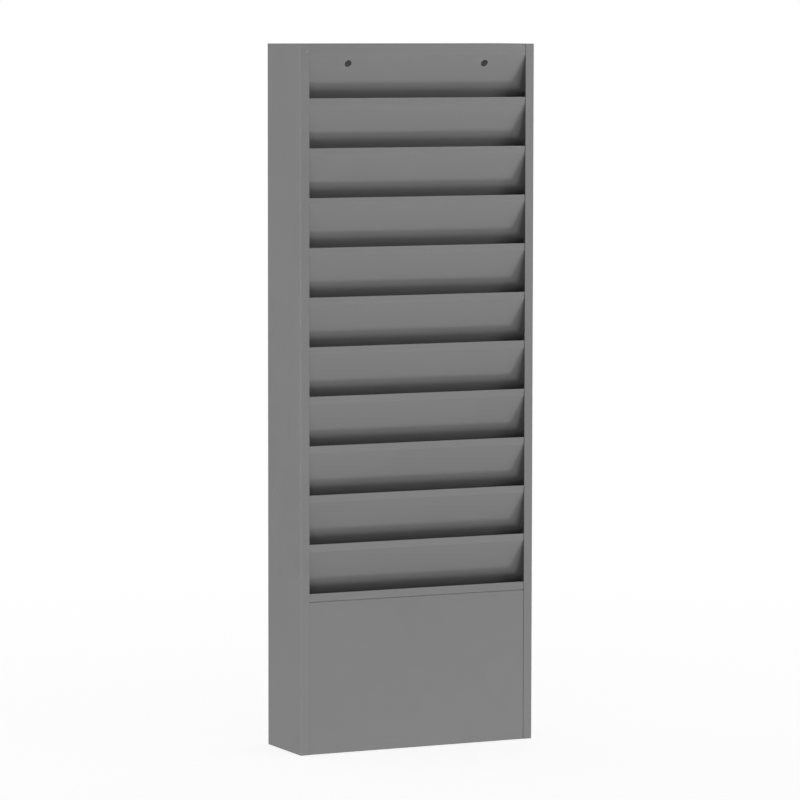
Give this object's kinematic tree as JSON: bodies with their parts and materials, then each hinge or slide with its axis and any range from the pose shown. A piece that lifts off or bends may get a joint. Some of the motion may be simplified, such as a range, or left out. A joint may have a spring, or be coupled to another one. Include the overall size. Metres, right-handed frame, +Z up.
{
  "type": "literature rack",
  "caption": "Wall or counter rack of folded sheet steel with inclined pockets, one above the other, for letter-size folders, over a plain lower front panel.",
  "frame": {"origin": "middle of the base, on the surface that the rack stands on", "axes": "+X to the right seen from the front, +Y to the back, +Z up"},
  "size_m": [0.3342, 0.1048, 0.9144],
  "materials": {
    "grey_powder_coat": "satin powder coat"
  },
  "bodies": {
    "root": {"left_side": "grey_powder_coat", "right_side": "grey_powder_coat", "back_panel": "grey_powder_coat", "header": "grey_powder_coat", "divider_01": "grey_powder_coat", "divider_02": "grey_powder_coat", "divider_03": "grey_powder_coat", "divider_04": "grey_powder_coat", "divider_05": "grey_powder_coat", "divider_06": "grey_powder_coat", "divider_07": "grey_powder_coat", "divider_08": "grey_powder_coat", "divider_09": "grey_powder_coat", "divider_10": "grey_powder_coat", "divider_11": "grey_powder_coat", "lower_front_panel": "grey_powder_coat", "bottom_panel": "grey_powder_coat"}
  },
  "joints": []
}
